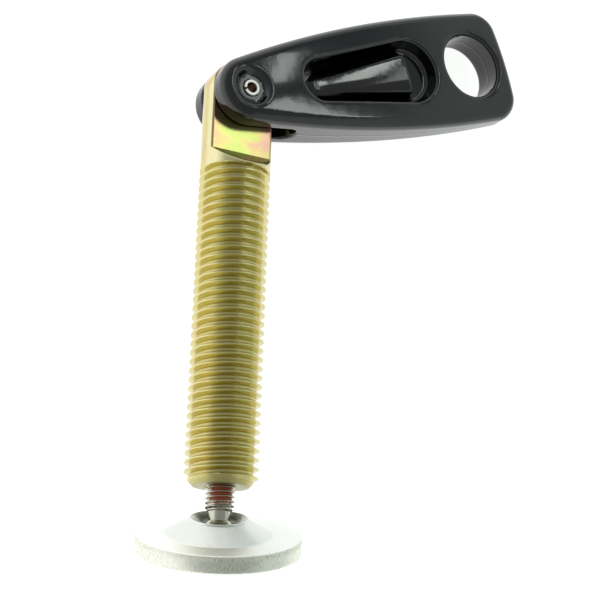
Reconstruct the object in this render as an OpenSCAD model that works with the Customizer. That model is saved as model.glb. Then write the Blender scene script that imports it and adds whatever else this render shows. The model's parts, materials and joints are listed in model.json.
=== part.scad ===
// Transom clamp screw: a threaded shank with a folding lever at its head
// and a swivelling pressure pad at its foot, lying on its back.
// Sizes are in millimetres. Each piece is drawn along the screw's own axis
// (foot at zero, head up, lever to +X) and then laid down by lay().

/* [Clamp screw] */
// Outside diameter of the clamp thread
thread_d = 20; // [18:0.5:24]
// Pitch of the clamp thread
thread_pitch = 2.5; // [1.5:0.25:3]
// Height of the lower edge of the flats above the foot
flat_z = 93.8; // [80:0.2:120]
// Thickness of the tongue between the flats
tongue_t = 7.3; // [5:0.1:9]
// Distance of the pivot above the lower edge of the flats
pivot_rise = 18.1; // [16:0.1:24]
// Radial size of the lead chamfer at the foot
foot_chamfer = 2.4; // [1.5:0.1:3]
// Length of the ramp that leads to each flat
ramp_l = 4.7; // [3:0.1:8]
// Plain length between the last thread and the foot of the ramps
runout_l = 0.6; // [0.2:0.1:2]

/* [Pivot pin] */
// Outside diameter of the rolled spring pin
pin_d = 5; // [4:0.1:6]
// Wall of the spring pin
pin_wall = 1; // [0.6:0.1:1.4]
// Slit along the spring pin
pin_slit = 0.7; // [0.4:0.1:1.2]
// Width of the lead chamfer at the pin's ends
pin_chamfer = 0.45; // [0.2:0.05:0.5]
// Depth of the pin's ends below the faces of the lever
pin_sink = 1.4; // [0.8:0.1:3]
// Radial play of the pin in the tongue
pin_play = 0.1; // [0.05:0.01:0.3]

/* [Lever] */
// Reach of the lever from the pivot to its end
lever_reach = 97; // [85:1:120]
// Radius of the lever's eye round the pivot
eye_r = 9.7; // [8.5:0.1:11]
// Thickness of the lever at the pivot
eye_t = 20.8; // [18:0.1:24]
// Thickness of the lever at its end
end_t = 11.2; // [10:0.1:14]
// Width of the lever across its end
end_w = 36; // [30:0.5:42]
// Corner radius at the lever's end
corner_r = 6.8; // [5:0.1:9]
// How far the long edges bow out from straight
edge_bow = 2.8; // [1:0.1:4]
// Rounding of all outer edges
edge_r = 3; // [2:0.1:4]
// Length of the slot beyond the pivot
slot_l = 15; // [13:0.5:18]
// Play of the tongue in the slot, on each side
slot_play = 0.35; // [0.2:0.05:0.6]
// Mouth diameter of the recess round the pin
recess_d = 11.6; // [10:0.1:13]
// Floor diameter of the recess round the pin
recess_floor_d = 8.2; // [7:0.1:9]
// Depth of the recess round the pin
recess_l = 2; // [1:0.1:3]
// Angle of the lever above square to the screw
lever_deg = 20; // [0:1:60]

/* [Lock hole] */
// Wall between the lock hole and the lever's end
lock_wall = 5; // [3:0.1:10]
// Diameter of the lock hole
lock_d = 20.4; // [14:0.2:21]
// Rounding of the lock hole's edges
lock_lip = 1.5; // [0.5:0.1:2]

/* [Pocket] */
// Radius of the pocket's narrow end
pocket_r1 = 6.6; // [5:0.1:8]
// Radius of the pocket's wide end
pocket_r2 = 10; // [8:0.1:11]
// Wall between the slot and the pocket
pocket_wall = 2.7; // [2:0.1:5]
// Wall between the pocket and the lock hole
pocket_land = 4.8; // [3:0.1:8]
// Web between the pockets of the two faces
web_t = 4.8; // [3:0.1:6]
// Slope of the pocket's walls from upright
pocket_draft = 12; // [5:1:20]
// Half width of the rib in the pocket at its high end
rib_half_w = 8; // [5:0.1:8.4]
// Height of the rib's low end, as a share of its high end
rib_scale = 0.05; // [0.02:0.01:0.4]
// Distance of the rib's high end below the face
rib_sink = 0.9; // [0.5:0.1:2]
// Clear length between the rib's high end and the pocket's end
rib_gap = 9.6; // [6:0.1:12]

/* [Swivel stud] */
// Outside diameter of the stud's thread
stud_d = 8; // [6:0.5:9]
// Pitch of the stud's thread
stud_pitch = 1.25; // [0.8:0.05:1.5]
// Length of the stud's thread that stands out of the foot
stud_out = 6.5; // [5:0.1:12]
// Length of the stud's thread inside the foot
stud_in = 12; // [8:1:20]
// Radial size of the chamfer where the stud's thread meets its neck
stud_chamfer = 0.9; // [0.6:0.1:1]
// Diameter of the stud's neck
neck_d = 5.9; // [4.5:0.1:6]
// Length of the neck, from the thread to the ball's centre
neck_l = 7.3; // [7:0.1:10]
// Radius of the stud's ball end
ball_r = 5.6; // [5.4:0.1:7]
// Width across the flats of the stud's hexagon socket
socket_w = 4; // [3:0.5:5]
// Radial play of the stud in its tapped hole
stud_play = 0.05; // [0.02:0.01:0.15]

/* [Pad] */
// Diameter of the pad
pad_d = 43.8; // [36:0.2:52]
// Thickness of the pad's rim
rim_t = 4.7; // [4:0.1:6]
// Diameter of the foot of the pad's hub
hub_d = 29; // [24:0.5:34]
// Height of the hub's lip above the rim
hub_h = 4.4; // [4.3:0.1:7]
// Outside diameter of the hub's lip
lip_d = 15.6; // [14.5:0.1:18]
// Width of the hub's lip
lip_w = 0.6; // [0.4:0.1:1]
// Depth of the countersink inside the lip
crater_l = 2.3; // [2:0.1:2.4]
// Depth of the ball's centre above the clamping face
ball_up = 3.2; // [2.9:0.1:3.7]
// Play of the ball in its seat
seat_play = 0.12; // [0.05:0.01:0.2]
// Lean of the pad as it lies
pad_lean = 22; // [0:1:22]
// Direction of the pad's lean round the screw, from the lever's side
pad_lean_az = 65; // [0:5:180]

/* [Hidden] */
$fn = 64;
hull_fn = 32;
edge_fn = 16;
over = 1;

// Metric thread form: depth of the groove and width of the crest
thread_depth_ratio = 0.613;
crest_ratio = 0.125;
root_ratio = 0.25;

// Clamp screw
thread_r = thread_d / 2;
pivot_z = flat_z + pivot_rise;
ramp_h = thread_r - tongue_t / 2;
ramp_z = flat_z - ramp_l;
thread_top = ramp_z - runout_l;
tap_r = stud_d / 2 + stud_play;
tap_l = stud_in + 2 * stud_pitch;
tap_mouth = 0.5;
tap_tip = 1.5;

// Lever: half thickness falls evenly from the pivot to the end
lever_taper = (eye_t - end_t) / 2 / lever_reach;
taper_deg = atan(lever_taper);
function half_t(u) = eye_t / 2 - lever_taper * u;
lock_u = lever_reach - lock_wall - lock_d / 2;
end_half_w = end_w / 2;
corner_u = lever_reach - corner_r;
corner_v = end_half_w - corner_r;
bow_at = [0.25, 0.5, 0.75];
function edge_v(s) = eye_r + (end_half_w - eye_r) * s + 4 * edge_bow * s * (1 - s);
slot_w = tongue_t + 2 * slot_play;
pin_r = pin_d / 2;
pin_l = eye_t - 2 * pin_sink;

// Pocket: its two ends and the rib that rises towards the wide end
pocket_u1 = slot_l + pocket_wall + pocket_r1;
pocket_u2 = lock_u - lock_d / 2 - pocket_land - pocket_r2;
floor_w = web_t / 2;
rib_u1 = pocket_u1 - pocket_r1 / 2;
rib_u2 = pocket_u2 + pocket_r2 - rib_gap;
rib_h = half_t(rib_u2) - rib_sink - floor_w;
rib_r = (rib_half_w * rib_half_w + rib_h * rib_h) / (2 * rib_h);

// Swivel stud and pad, with the ball's centre as their shared point
stud_r = stud_d / 2;
ball_z = -stud_out - neck_l;
ball_flat = 0.4;
socket_l = 2.6;
pad_r = pad_d / 2;
seat_r = ball_r + seat_play;
face_z = -ball_up;
rim_top = face_z + rim_t;
lip_z = rim_top + hub_h;
crater_r = lip_d / 2 - lip_w;
crater_z = lip_z - crater_l;
// The hole lets the leaning neck swing to its stop
neck_gap = 0.15;
swing_max = 22;
hole_r = neck_d / 2 / cos(swing_max) + crater_z * tan(swing_max) + neck_gap;
rim_round = 0.5;

// Rest on the back: the pad's rim and the lever's eye share the floor
lean_y = sin(pad_lean) * sin(pad_lean_az);
pad_axis = [-sin(pad_lean) * cos(pad_lean_az), -lean_y, cos(pad_lean)];
pad_foot = [0, 0, ball_z] - pad_axis * ball_up;
pad_down = ([0, 1, 0] + pad_axis * lean_y) / sqrt(1 - lean_y * lean_y);
pad_touch = pad_foot + pad_down * pad_r;
eye_touch_z = pivot_z + eye_r - edge_r;
lie_deg = atan((pad_touch.y - eye_t / 2) / (eye_touch_z - pad_touch.z));

// Lays the screw down with its back on the floor
module lay() {
    rotate([-90 - lie_deg, 0, 0]) children();
}

// Puts the lever's own plane (u along, v across, w to the front) at the pivot
module at_pivot() {
    translate([0, 0, pivot_z]) rotate([90, 0, 0]) rotate([0, 0, lever_deg]) children();
}

// Ring grooves of metric form, as a profile of radius against height
function ring_points(r, pitch, z0, count) = [
    for (i = [0 : count - 1])
        for (p = [
            [r, 0],
            [r, crest_ratio],
            [r - thread_depth_ratio * pitch, 0.5 + (crest_ratio - root_ratio) / 2],
            [r - thread_depth_ratio * pitch, 0.5 + (crest_ratio + root_ratio) / 2]
        ])
            [p[0], z0 + (i + p[1]) * pitch]
];

// Turned rod: a lead chamfer at its lower end, rings up to thread_l, then plain
module threaded_rod(r, pitch, chamfer, thread_l, length) {
    count = floor((thread_l - chamfer) / pitch);
    rotate_extrude()
        polygon(concat(
            [[0, 0], [r - chamfer, 0]],
            ring_points(r, pitch, chamfer, count),
            [[r, chamfer + count * pitch], [r, length], [0, length]]
        ));
}

// Cuts one flat of the tongue and the ramp that leads to it
module flat_cut() {
    rotate([90, 0, 90])
        linear_extrude(height = 2 * (thread_r + over), center = true)
            polygon([
                [tongue_t / 2, flat_z],
                [thread_r + over, ramp_z - over * ramp_l / ramp_h],
                [thread_r + over, pivot_z + thread_r + over],
                [tongue_t / 2, pivot_z + thread_r + over]
            ]);
}

// Shank with its rounded head, before the flats are cut
module screw_blank() {
    head_z = pivot_z + thread_r;
    intersection() {
        threaded_rod(thread_r, thread_pitch, foot_chamfer, thread_top, head_z + over);
        union() {
            translate([0, 0, pivot_z]) rotate([90, 0, 0])
                cylinder(h = 2 * (thread_r + over), r = thread_r, center = true);
            translate([-thread_r - over, -thread_r - over, -over])
                cube([2 * (thread_r + over), 2 * (thread_r + over), pivot_z + over]);
        }
    }
}

// Tapped hole in the foot, with a bevelled mouth and a blunt end
module tap_cut() {
    rotate_extrude() polygon([
        [0, -over],
        [tap_r + tap_mouth + over, -over],
        [tap_r, tap_mouth],
        [tap_r, tap_l],
        [tap_r - tap_tip, tap_l + tap_tip],
        [0, tap_l + tap_tip]
    ]);
}

module clamp_screw() {
    color([0.72, 0.63, 0.28]) lay() difference() {
        screw_blank();
        flat_cut();
        mirror([0, 1, 0]) flat_cut();
        translate([0, 0, pivot_z]) rotate([90, 0, 0])
            cylinder(h = tongue_t + over, r = pin_r + pin_play, center = true);
        tap_cut();
    }
}

// Round slab with rounded edges, thinner the further it lies from the pivot
module soft_disc(u, v, r) {
    for (side = [-1, 1])
        translate([u, v, side * (half_t(u) - edge_r)])
            rotate_extrude($fn = hull_fn)
                translate([r - edge_r, 0]) circle(edge_r, $fn = edge_fn);
}

module lever_body() {
    hull() {
        soft_disc(0, 0, eye_r);
        for (side = [-1, 1]) {
            soft_disc(corner_u, side * corner_v, corner_r);
            for (s = bow_at) soft_disc(s * corner_u, side * (edge_v(s) - corner_r), corner_r);
        }
    }
}

// Fork that takes the tongue, with a round-ended slot
module slot_cut() {
    slot_end = slot_l - slot_w / 2;
    translate([-eye_r - over, -end_w, -slot_w / 2]) cube([eye_r + over + slot_end, 2 * end_w, slot_w]);
    translate([slot_end, 0, 0]) rotate([90, 0, 0]) cylinder(h = 2 * end_w, r = slot_w / 2, center = true);
}

// Tapered recess round each end of the pin
module recess_cut() {
    translate([0, 0, eye_t / 2 - recess_l])
        cylinder(h = recess_l + over, d1 = recess_floor_d,
                 d2 = recess_d + (recess_d - recess_floor_d) * over / recess_l);
}

// Rounded edge of the lock hole on one face, as two bevels
module lock_lip_cut() {
    lock_r = lock_d / 2;
    bevel = lock_lip * (1 - sin(45));
    steep = (lock_lip - bevel) / bevel;
    translate([lock_u, 0, half_t(lock_u)]) rotate([0, taper_deg, 0])
        rotate_extrude() polygon([
            [lock_r - over, over],
            [lock_r - over, -lock_lip - steep * over],
            [lock_r + bevel, -bevel],
            [lock_r + lock_lip + steep * over, over]
        ]);
}

// Drafted pocket in one face
module pocket_cut() {
    draft = tan(pocket_draft);
    hull() {
        for (p = [[pocket_u1, pocket_r1], [pocket_u2, pocket_r2]]) {
            depth = half_t(p[0]) - floor_w;
            translate([p[0], 0, floor_w])
                cylinder(h = depth + over, r1 = p[1] - depth * draft, r2 = p[1] + over * draft, $fn = hull_fn);
        }
    }
}

// Low rounded rib on the pocket's floor, rising towards its wide end
module pocket_rib() {
    length = rib_u2 - rib_u1;
    rise = (rib_h - rib_r) * (1 - rib_scale);
    axis_deg = atan(rise / length);
    intersection() {
        translate([rib_u1, 0, floor_w + (rib_h - rib_r) * rib_scale])
            rotate([0, 90 - axis_deg, 0])
                cylinder(h = length / cos(axis_deg), r1 = rib_r * rib_scale, r2 = rib_r);
        translate([rib_u1, -end_w, 0]) cube([length, 2 * end_w, eye_t]);
    }
}

module lever() {
    color([0.09, 0.09, 0.1]) lay() at_pivot() {
        difference() {
            lever_body();
            slot_cut();
            cylinder(h = eye_t + 2 * over, r = pin_r, center = true);
            translate([lock_u, 0, 0]) cylinder(h = eye_t + 2 * over, d = lock_d, center = true);
            for (side = [0, 1]) mirror([0, 0, side]) {
                recess_cut();
                lock_lip_cut();
                difference() {
                    pocket_cut();
                    pocket_rib();
                }
            }
        }
    }
}

module pivot_pin() {
    color([0.8, 0.8, 0.82]) lay() at_pivot() difference() {
        rotate_extrude() polygon([
            [pin_r - pin_wall, -pin_l / 2],
            [pin_r - pin_chamfer, -pin_l / 2],
            [pin_r, -pin_l / 2 + 2 * pin_chamfer],
            [pin_r, pin_l / 2 - 2 * pin_chamfer],
            [pin_r - pin_chamfer, pin_l / 2],
            [pin_r - pin_wall, pin_l / 2]
        ]);
        translate([-pin_r - over, -pin_slit / 2, -pin_l / 2 - over])
            cube([pin_r + over, pin_slit, pin_l + 2 * over]);
    }
}

module swivel_stud() {
    color([0.75, 0.74, 0.72]) lay() difference() {
        union() {
            translate([0, 0, -stud_out])
                threaded_rod(stud_r, stud_pitch, stud_chamfer, stud_out + stud_in, stud_out + stud_in);
            translate([0, 0, ball_z]) cylinder(h = neck_l + stud_chamfer, d = neck_d);
            translate([0, 0, ball_z]) difference() {
                sphere(ball_r);
                translate([-ball_r - over, -ball_r - over, -2 * ball_r - ball_flat])
                    cube([2 * (ball_r + over), 2 * (ball_r + over), 2 * ball_r]);
            }
        }
        translate([0, 0, ball_z - ball_flat - over])
            cylinder(h = socket_l + over, d = socket_w / cos(30), $fn = 6);
    }
}

module pad() {
    color([0.78, 0.79, 0.78]) lay()
        translate([0, 0, ball_z]) rotate([0, -pad_lean, pad_lean_az]) difference() {
            rotate_extrude() polygon([
                [0, face_z],
                [pad_r - rim_round, face_z],
                [pad_r, face_z + rim_round],
                [pad_r, rim_top - rim_round],
                [pad_r - rim_round, rim_top],
                [hub_d / 2, rim_top],
                [lip_d / 2, lip_z - lip_w],
                [lip_d / 2, lip_z - lip_w / 2],
                [lip_d / 2 - lip_w / 2, lip_z],
                [crater_r, lip_z],
                [hole_r, crater_z],
                [0, crater_z]
            ]);
            sphere(seat_r);
            translate([0, 0, face_z - over]) cylinder(h = over - face_z, r = seat_r);
            cylinder(h = lip_z, r = hole_r);
        }
}

clamp_screw();
lever();
pivot_pin();
swivel_stud();
pad();
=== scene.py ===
"""Looks of a transom clamp screw that lies on its back.

Each piece is worked out in millimetres in a frame of its own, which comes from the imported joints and
mounts, and goes into metres in the row frame when its mesh is made.
"""

import json
import logging
import math
from collections.abc import Callable, Sequence
from dataclasses import dataclass
from enum import Enum
from typing import Any

import bmesh
import bpy
import numpy as np
from mathutils import Matrix, Vector

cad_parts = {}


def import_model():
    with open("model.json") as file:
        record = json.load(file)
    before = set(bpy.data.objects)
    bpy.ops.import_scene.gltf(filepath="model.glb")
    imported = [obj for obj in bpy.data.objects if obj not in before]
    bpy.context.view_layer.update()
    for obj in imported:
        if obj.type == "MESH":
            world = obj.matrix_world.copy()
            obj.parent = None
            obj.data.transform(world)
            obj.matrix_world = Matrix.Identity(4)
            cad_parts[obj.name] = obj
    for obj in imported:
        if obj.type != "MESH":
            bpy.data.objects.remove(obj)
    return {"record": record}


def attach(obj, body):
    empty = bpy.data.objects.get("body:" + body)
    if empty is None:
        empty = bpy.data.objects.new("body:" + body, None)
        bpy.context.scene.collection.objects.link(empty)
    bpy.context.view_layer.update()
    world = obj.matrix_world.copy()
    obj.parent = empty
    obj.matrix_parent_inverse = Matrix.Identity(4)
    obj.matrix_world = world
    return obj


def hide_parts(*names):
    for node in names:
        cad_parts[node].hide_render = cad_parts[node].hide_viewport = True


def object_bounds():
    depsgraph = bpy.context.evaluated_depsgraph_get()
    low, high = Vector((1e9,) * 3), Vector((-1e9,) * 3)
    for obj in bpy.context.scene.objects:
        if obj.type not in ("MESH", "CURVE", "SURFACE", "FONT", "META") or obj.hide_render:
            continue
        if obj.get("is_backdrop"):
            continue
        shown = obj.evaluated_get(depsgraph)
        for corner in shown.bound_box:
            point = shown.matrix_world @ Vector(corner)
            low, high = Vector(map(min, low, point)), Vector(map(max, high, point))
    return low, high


LOG = logging.getLogger("clamp_screw")
MM = 0.001
TURN = 2 * math.pi

Field = Callable[[np.ndarray], np.ndarray]
Span = tuple[float, float]
Factors = tuple[float, float, float]
Colour = tuple[float, float, float]
Ramp = tuple[tuple[float, Colour], ...]


class Body(Enum):
    """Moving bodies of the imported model."""

    SCREW = "screw"
    LEVER = "lever"
    STUD = "stud"
    PAD = "pad"


class Slot(Enum):
    """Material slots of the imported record."""

    YELLOW_ZINC = "yellow_zinc_steel"
    BLACK_PAINT = "black_painted_alloy"
    SPRING_STEEL = "spring_steel"
    STUD_STEEL = "stud_steel"
    TUMBLED_STEEL = "tumbled_steel"


@dataclass(frozen=True)
class Placement:
    """Where a piece's own frame lies in the row frame.

    Args:
        origin: The frame's origin in metres.
        axes: Unit vectors of the frame's x, y and z, one to a row.
    """

    origin: np.ndarray
    axes: np.ndarray

    def to_row(self, points: np.ndarray) -> np.ndarray:
        """Turns points in millimetres of this frame into metres of the row frame."""
        return self.origin + (points * MM) @ self.axes


@dataclass(frozen=True)
class Skeleton:
    """Frames of the pieces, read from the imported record.

    Args:
        screw: Origin at the foot, z up the shank, y to the back.
        lever: Origin at the pivot, u to the free end, v across, w to the front.
        pad: Origin at the ball's centre, z out of the hub.
    """

    screw: Placement
    lever: Placement
    pad: Placement

    @classmethod
    def from_record(cls, record: dict[str, Any]) -> "Skeleton":
        """Works the frames out from the joints and mounts.

        Args:
            record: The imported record.

        Returns:
            The frames of the pieces.
        """
        joints = {row["name"]: row for row in record["behaviour"]["joints"]}
        mounts = {row["name"]: row for row in record["mounts"]}
        pivot, tilt = joints["lever_pivot"], joints["pad_tilt"]
        front = cls._unit(pivot["axis"])
        shank = -cls._unit(mounts["clamp_thread"]["axis"])
        along = np.array(mounts["lock_hole"]["pos_m"]) - np.array(pivot["pos_m"])
        along = cls._unit(along - front * (along @ front))
        hub = -cls._unit(mounts["pad_face"]["axis"])
        across = cls._unit(tilt["axis"])
        return cls(
            screw=cls._frame(mounts["clamp_thread"]["pos_m"], np.cross(-front, shank), -front),
            lever=cls._frame(pivot["pos_m"], along, np.cross(front, along)),
            pad=cls._frame(tilt["pos_m"], across, np.cross(hub, across)),
        )

    @staticmethod
    def _unit(vector: Sequence[float]) -> np.ndarray:
        """Scales a vector to length one."""
        vector = np.asarray(vector, float)
        return vector / np.linalg.norm(vector)

    @staticmethod
    def _frame(origin: Sequence[float], x: np.ndarray, y: np.ndarray) -> Placement:
        """Makes a right-handed frame from its origin and its x and y."""
        return Placement(np.asarray(origin, float), np.array([x, y, np.cross(x, y)]))


def smoothstep(low: float, high: float, value: np.ndarray) -> np.ndarray:
    """Rises smoothly from 0 at low to 1 at high, as 3t^2 - 2t^3."""
    t = np.clip((value - low) / (high - low), 0, 1)
    return t * t * (3 - 2 * t)


def round_meet(a: np.ndarray, b: np.ndarray, radius: float) -> np.ndarray:
    """Overlap of two distance fields, its outer edge rounded to a quarter circle.

    Args:
        a: First distance field, below zero inside.
        b: Second distance field.
        radius: Radius of the edge.

    Returns:
        The distance field of the overlap.
    """
    a, b = a + radius, b + radius
    return np.minimum(np.maximum(a, b), 0) + np.hypot(np.maximum(a, 0), np.maximum(b, 0)) - radius


def capsule(u: np.ndarray, v: np.ndarray, u1: float, r1: float, u2: float, r2: float) -> np.ndarray:
    """Distance in a plane to the hull of two circles.

    It is the distance to a circle beyond its end, and to the straight edge between the two.

    Args:
        u: Place along the line of centres.
        v: Place across it.
        u1: Centre of the first circle.
        r1: Radius of the first circle.
        u2: Centre of the second circle.
        r2: Radius of the second circle.

    Returns:
        The distance at each point.
    """
    length = u2 - u1
    lean = (r1 - r2) / length
    rest = math.sqrt(1 - lean**2)
    x, y = np.abs(v), u - u1
    along = y * rest - x * lean
    first, last = np.hypot(x, y) - r1, np.hypot(x, y - length) - r2
    edge = x * rest + y * lean - r1
    return np.where(along < 0, first, np.where(along > rest * length, last, edge))


@dataclass
class Shell:
    """A surface in millimetres: points, and faces of three or four corners.

    Args:
        points: One point to a row.
        quads: Corners of the four-sided faces.
        triangles: Corners of the three-sided faces.
    """

    points: np.ndarray
    quads: np.ndarray
    triangles: np.ndarray

    @classmethod
    def join(cls, shells: Sequence["Shell"]) -> "Shell":
        """Puts several surfaces into one."""
        starts = np.cumsum([0] + [len(shell.points) for shell in shells[:-1]])
        return cls(
            np.concatenate([shell.points for shell in shells]),
            np.concatenate([shell.quads + start for shell, start in zip(shells, starts)]),
            np.concatenate([shell.triangles + start for shell, start in zip(shells, starts)]),
        )

    @classmethod
    def from_rows(cls, grid: np.ndarray, wrap: int = 0) -> "Shell":
        """Joins a grid of points, rows by columns, into a tube round its columns.

        Args:
            grid: Points as rows x columns x 3.
            wrap: How many rows further the last column meets the first one, as on a helix.

        Returns:
            The surface, outwards where rows climb and columns turn to the left.
        """
        rows, columns = grid.shape[:2]
        index = np.arange(rows * columns).reshape(rows, columns)
        inner = np.stack([index[:-1, :-1], index[:-1, 1:], index[1:, 1:], index[1:, :-1]], -1)
        last = index[: rows - wrap, -1]
        first = index[wrap:, 0]
        seam = np.stack([last[:-1], first[:-1], first[1:], last[1:]], -1)
        quads = np.concatenate([inner.reshape(-1, 4), seam])
        return cls(grid.reshape(-1, 3), quads, np.zeros((0, 3), int))

    @classmethod
    def revolve(cls, profile: np.ndarray, columns: int) -> "Shell":
        """Turns a profile of radius and height round z.

        Args:
            profile: Radius and height, one pair to a row.
            columns: Number of steps round the axis.

        Returns:
            The surface; ends of the profile on the axis close into poles.
        """
        angle = np.arange(columns) * TURN / columns
        radius = profile[:, :1]
        height = np.broadcast_to(profile[:, 1:], (len(profile), columns))
        return cls.from_rows(np.stack([radius * np.cos(angle), radius * np.sin(angle), height], -1))


@dataclass(frozen=True)
class FieldMesher:
    """Meshes a distance field with one point to each cell that its zero surface crosses.

    Args:
        low: Lowest corner of the box that holds the surface.
        high: Highest corner of that box.
        step: Size of a cell.
        settle_rounds: How often the points are moved onto the surface.
        slope_reach: Half the distance over which the field's slope is taken.
        least_slope: Lowest squared slope that a move is worked out with.
    """

    low: tuple[float, float, float]
    high: tuple[float, float, float]
    step: float
    settle_rounds: int = 4
    slope_reach: float = 0.02
    least_slope: float = 0.05

    def mesh(self, field: Field) -> Shell:
        """Samples the field, joins the crossed cells and settles their points on the surface.

        Args:
            field: Distance at each point of an array, below zero inside.

        Returns:
            The closed surface.
        """
        low = np.array(self.low)
        count = np.ceil((np.array(self.high) - low) / self.step).astype(int) + 1
        lattice = np.stack(np.meshgrid(*(np.arange(n) for n in count), indexing="ij"), -1)
        value = field(low + lattice.reshape(-1, 3) * self.step).reshape(count)
        number, start = self._crossed_cells(value)
        points = low + start * self.step
        for _ in range(self.settle_rounds):
            points = self._settle(field, points)
        quads = np.concatenate([self._edge_quads(value < 0, number, axis) for axis in range(3)])
        return Shell(points, quads, np.zeros((0, 3), int))

    def _crossed_cells(self, value: np.ndarray) -> tuple[np.ndarray, np.ndarray]:
        """Numbers the cells that the surface crosses and averages their edge crossings.

        Args:
            value: The field on the lattice.

        Returns:
            Each cell's number, or -1, and the mean crossing of each numbered cell in cells.
        """
        cells = tuple(n - 1 for n in value.shape)
        total = np.zeros(cells + (3,))
        hits = np.zeros(cells)
        for axis in range(3):
            sides = [k for k in range(3) if k != axis]
            for shift in np.ndindex(2, 2):
                offset = np.zeros(3, int)
                offset[sides] = shift
                near = value[tuple(slice(o, o + n) for o, n in zip(offset, cells))]
                ahead = offset.copy()
                ahead[axis] += 1
                far = value[tuple(slice(o, o + n) for o, n in zip(ahead, cells))]
                crossed = (near < 0) != (far < 0)
                share = np.where(crossed, near / np.where(crossed, near - far, 1), 0)
                place = np.broadcast_to(offset.astype(float), cells + (3,)).copy()
                place[..., axis] += share
                total += place * crossed[..., None]
                hits += crossed
        inside = hits > 0
        number = np.full(cells, -1)
        number[inside] = np.arange(inside.sum())
        return number, np.argwhere(inside) + total[inside] / hits[inside][:, None]

    def _settle(self, field: Field, points: np.ndarray) -> np.ndarray:
        """Moves points down the field's slope onto its zero surface, one Newton step."""
        reach = self.slope_reach
        slope = np.stack(
            [field(points + reach * unit) - field(points - reach * unit) for unit in np.eye(3)], -1
        ) / (2 * reach)
        move = slope * (field(points) / np.maximum((slope * slope).sum(-1), self.least_slope))[:, None]
        return points - np.clip(move, -self.step, self.step)

    @staticmethod
    def _edge_quads(inside: np.ndarray, number: np.ndarray, axis: int) -> np.ndarray:
        """Makes a quad of the four cells round each lattice edge that the surface crosses.

        Args:
            inside: Whether each lattice point is inside.
            number: The cells' numbers.
            axis: Direction of the lattice edges.

        Returns:
            Corners of the quads, facing outwards.
        """
        a, b = [(1, 2), (2, 0), (0, 1)][axis]
        here = [slice(1, -1)] * 3
        here[axis] = slice(0, -1)
        ahead = list(here)
        ahead[axis] = slice(1, None)
        here_in, ahead_in = inside[tuple(here)], inside[tuple(ahead)]
        edges = np.argwhere(here_in != ahead_in)
        outwards = here_in[here_in != ahead_in]
        edges[:, [a, b]] += 1
        ring = []
        for back_a, back_b in ((1, 1), (0, 1), (0, 0), (1, 0)):
            cell = edges.copy()
            cell[:, a] -= back_a
            cell[:, b] -= back_b
            ring.append(number[tuple(cell.T)])
        quads = np.stack(ring, -1)
        return np.where(outwards[:, None], quads, quads[:, ::-1])


@dataclass(frozen=True)
class PieceMaker:
    """Makes a finished object from a surface.

    Args:
        weld: Distance in metres under which points are one point.
        crease_deg: Angle above which an edge stays sharp.
    """

    weld: float = 2e-7
    crease_deg: float = 24.0

    def make(
        self, name: str, shell: Shell, place: Placement, node: str, body: Body
    ) -> bpy.types.Object:
        """Builds the mesh in the row frame and ties the piece to its body.

        Args:
            name: Name of the piece.
            shell: Its surface in millimetres.
            place: The frame that the surface is in.
            node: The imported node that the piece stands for.
            body: The body that it rides on.

        Returns:
            The object, at the origin.
        """
        mesh = bpy.data.meshes.new(name)
        self._fill(mesh, shell, place.to_row(shell.points))
        self._clean(mesh)
        mesh.shade_smooth()
        mesh.set_sharp_from_angle(angle=math.radians(self.crease_deg))
        piece = bpy.data.objects.new(name, mesh)
        bpy.context.scene.collection.objects.link(piece)
        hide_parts(node)
        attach(piece, body.value)
        LOG.info("%s: %d faces", name, len(mesh.polygons))
        return piece

    @staticmethod
    def _fill(mesh: bpy.types.Mesh, shell: Shell, points: np.ndarray) -> None:
        """Writes the points and faces into a mesh as whole arrays."""
        corners = np.concatenate([shell.quads.ravel(), shell.triangles.ravel()])
        sides = np.concatenate([np.full(len(shell.quads), 4), np.full(len(shell.triangles), 3)])
        mesh.vertices.add(len(points))
        mesh.vertices.foreach_set("co", points.astype(np.float32).ravel())
        mesh.loops.add(len(corners))
        mesh.loops.foreach_set("vertex_index", corners.astype(np.int32))
        mesh.polygons.add(len(sides))
        mesh.polygons.foreach_set("loop_start", (np.cumsum(sides) - sides).astype(np.int32))
        mesh.update(calc_edges=True)
        mesh.validate()

    def _clean(self, mesh: bpy.types.Mesh) -> None:
        """Merges doubled points, drops faces with no area and turns all faces outwards."""
        work = bmesh.new()
        work.from_mesh(mesh)
        bmesh.ops.remove_doubles(work, verts=work.verts, dist=self.weld)
        bmesh.ops.dissolve_degenerate(work, edges=work.edges, dist=self.weld)
        bmesh.ops.recalc_face_normals(work, faces=work.faces)
        work.to_mesh(mesh)
        work.free()


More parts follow.
